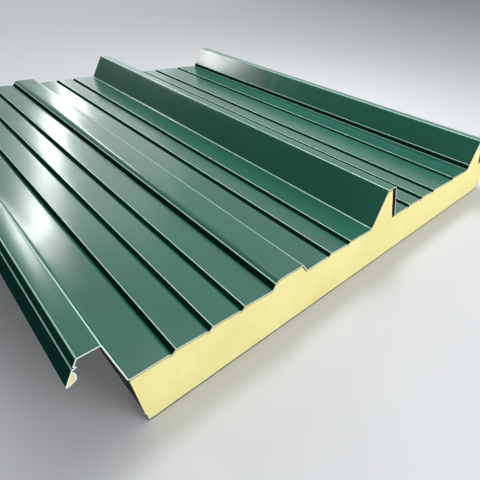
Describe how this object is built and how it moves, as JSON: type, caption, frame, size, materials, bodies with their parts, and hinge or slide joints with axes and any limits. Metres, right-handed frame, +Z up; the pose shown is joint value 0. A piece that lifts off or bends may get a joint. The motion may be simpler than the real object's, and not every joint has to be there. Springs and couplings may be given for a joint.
{
  "type": "insulated sandwich panel",
  "caption": "Ribbed roof panel of painted outer sheet, foam core and flat liner, with an open overlap rib along one side and a foam-filled rib along the other.",
  "frame": {"origin": "middle of the panel's box, at the level of the liner's underside", "axes": "+X across the ribs towards the underlap rib, +Y along the ribs, +Z up out of the ribbed face"},
  "size_m": [0.6254, 0.6, 0.089],
  "materials": {
    "outer_paint": "gloss",
    "foam": "matte",
    "liner_paint": "satin",
    "seal_foam": "matte"
  },
  "bodies": {
    "root": {"top_sheet": "outer_paint", "foam_core": "foam", "liner_sheet": "liner_paint", "hem_seal": "seal_foam"}
  },
  "joints": []
}
